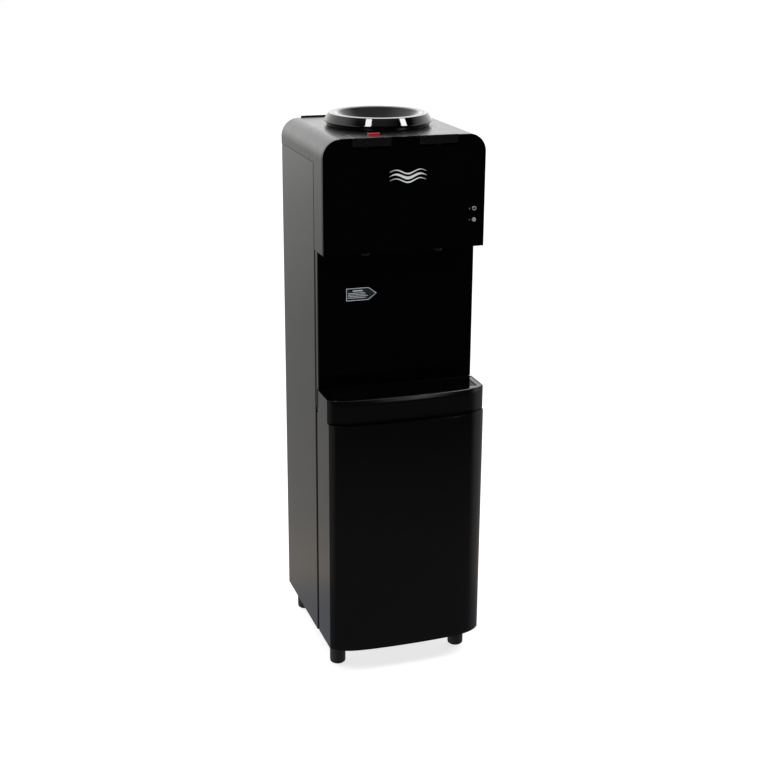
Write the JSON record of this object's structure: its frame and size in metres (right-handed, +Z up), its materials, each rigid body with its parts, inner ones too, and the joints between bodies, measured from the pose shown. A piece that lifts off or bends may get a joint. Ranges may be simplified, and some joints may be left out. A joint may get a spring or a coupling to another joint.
{
  "type": "water dispenser",
  "caption": "Floor-standing top-loading water dispenser with hot and cold push keys, cup bay, drip tray and a storage cabinet with a door.",
  "frame": {"origin": "on the floor, under the middle of the overall box", "axes": "+Z up; the front with the keys, drip tray and door faces -Y; +X is to the right of a person who stands in front of it"},
  "size_m": [0.31, 0.354, 1.063],
  "materials": {
    "gloss_black": "high gloss moulded plastic",
    "painted_sheet": "gloss paint on sheet steel",
    "satin_black": "satin moulded plastic",
    "matt_black": "matt black paint",
    "rubber": "matt",
    "red_plastic": "gloss",
    "green_plastic": "gloss",
    "lens": "clear over a pale diffuser",
    "silver_foil": "satin silver",
    "label_film": "printed film",
    "steel": "plain",
    "spring_steel": "plain wire",
    "copper": "plain copper tube",
    "foam": "moulded foam beads",
    "white_plastic": "satin",
    "silicone": "translucent white",
    "compressor_black": "black enamel"
  },
  "bodies": {
    "cabinet": {"back_panel": "painted_sheet", "badge": "silver_foil", "base_pan": "satin_black", "bay_panel": "gloss_black", "cabinet_liner": "satin_black", "cold_hose": "silicone", "cold_reservoir": "steel", "cold_spout": "gloss_black", "cold_spring": "spring_steel", "cold_tap": "white_plastic", "compressor": "compressor_black", "compressor_mount": "steel", "condenser_coil": "matt_black", "condenser_strip": "matt_black", "cooling_lens": "lens", "cord_gland": "rubber", "cross_member": "steel", "door_magnet": "matt_black", "drain_cap": "white_plastic", "drain_pipe": "silicone", "evaporator_coil": "copper", "feed_pipe": "silicone", "foot_front_left": "rubber", "foot_front_right": "rubber", "foot_rear_left": "rubber", "foot_rear_right": "rubber", "front_fascia": "gloss_black", "heating_lens": "lens", "hinge_pin_lower": "steel", "hinge_pin_upper": "steel", "hot_hose": "silicone", "hot_spout": "gloss_black", "hot_spring": "spring_steel", "hot_tank": "steel", "hot_tank_jacket": "foam", "hot_tap": "white_plastic", "instruction_label": "label_film", "key_pin": "steel", "reservoir_jacket": "foam", "side_panel_left": "painted_sheet", "side_panel_right": "painted_sheet", "switch_bezel": "satin_black", "tank_shelf": "steel", "tray_rail_left": "steel", "tray_rail_right": "steel", "underside_plate": "satin_black", "upper_housing": "gloss_black"},
    "hot_key": {"hot_key": "gloss_black"},
    "cold_key": {"cold_key": "gloss_black"},
    "child_lock": {"child_lock": "red_plastic"},
    "hot_rod": {"hot_rod": "white_plastic"},
    "cold_rod": {"cold_rod": "white_plastic"},
    "door": {"cabinet_door": "gloss_black", "catch_plate": "steel"},
    "tray": {"drip_tray": "gloss_black"},
    "grille": {"drip_grille": "satin_black"},
    "collar": {"bottle_collar": "gloss_black", "bottle_probe": "white_plastic"},
    "heating_switch": {"heating_switch": "red_plastic"},
    "cooling_switch": {"cooling_switch": "green_plastic"}
  },
  "joints": [
    {"name": "hot_key_press", "type": "hinge", "parent": "cabinet", "child": "hot_key", "pos_m": [-0.063, -0.0835, 1.0325], "axis": [1, 0, 0], "range_deg": [0, 5], "stiffness_Nm_per_rad": 1, "springref_deg": -5.73},
    {"name": "cold_key_press", "type": "hinge", "parent": "cabinet", "child": "cold_key", "pos_m": [0.063, -0.0835, 1.0325], "axis": [1, 0, 0], "range_deg": [0, 5], "stiffness_Nm_per_rad": 1, "springref_deg": -5.73},
    {"name": "hot_rod_push", "type": "slide", "parent": "cabinet", "child": "hot_rod", "axis": [0, 0, -1], "range_m": [0, 0.002], "deforming": ["hot_spring"]},
    {"name": "cold_rod_push", "type": "slide", "parent": "cabinet", "child": "cold_rod", "axis": [0, 0, -1], "range_m": [0, 0.002], "deforming": ["cold_spring"]},
    {"name": "child_lock_slide", "type": "slide", "parent": "hot_key", "child": "child_lock", "axis": [1, 0, 0], "range_m": [0, 0.006], "stiffness_N_per_m": 40, "springref_m": -0.02},
    {"name": "door_swing", "type": "hinge", "parent": "cabinet", "child": "door", "pos_m": [0.1465, -0.0755, 0.287], "axis": [0, 0, 1], "range_deg": [0, 100]},
    {"name": "tray_pull", "type": "slide", "parent": "cabinet", "child": "tray", "axis": [0, -1, 0], "range_m": [0, 0.085]},
    {"name": "grille_lift", "type": "slide", "parent": "tray", "child": "grille", "axis": [0, 0, 1], "range_m": [0, 0.06]},
    {"name": "collar_lift", "type": "slide", "parent": "cabinet", "child": "collar", "axis": [0, 0, 1], "range_m": [0, 0.08]},
    {"name": "heating_switch_rock", "type": "hinge", "parent": "cabinet", "child": "heating_switch", "pos_m": [0.085, 0.164, 0.942], "axis": [1, 0, 0], "range_deg": [0, 16]},
    {"name": "cooling_switch_rock", "type": "hinge", "parent": "cabinet", "child": "cooling_switch", "pos_m": [0.113, 0.164, 0.942], "axis": [1, 0, 0], "range_deg": [0, 16]}
  ],
  "couplings": [
    {"joint": "hot_rod_push", "follows": "hot_key_press", "m_per_rad": 0.0215},
    {"joint": "cold_rod_push", "follows": "cold_key_press", "m_per_rad": 0.0215}
  ]
}
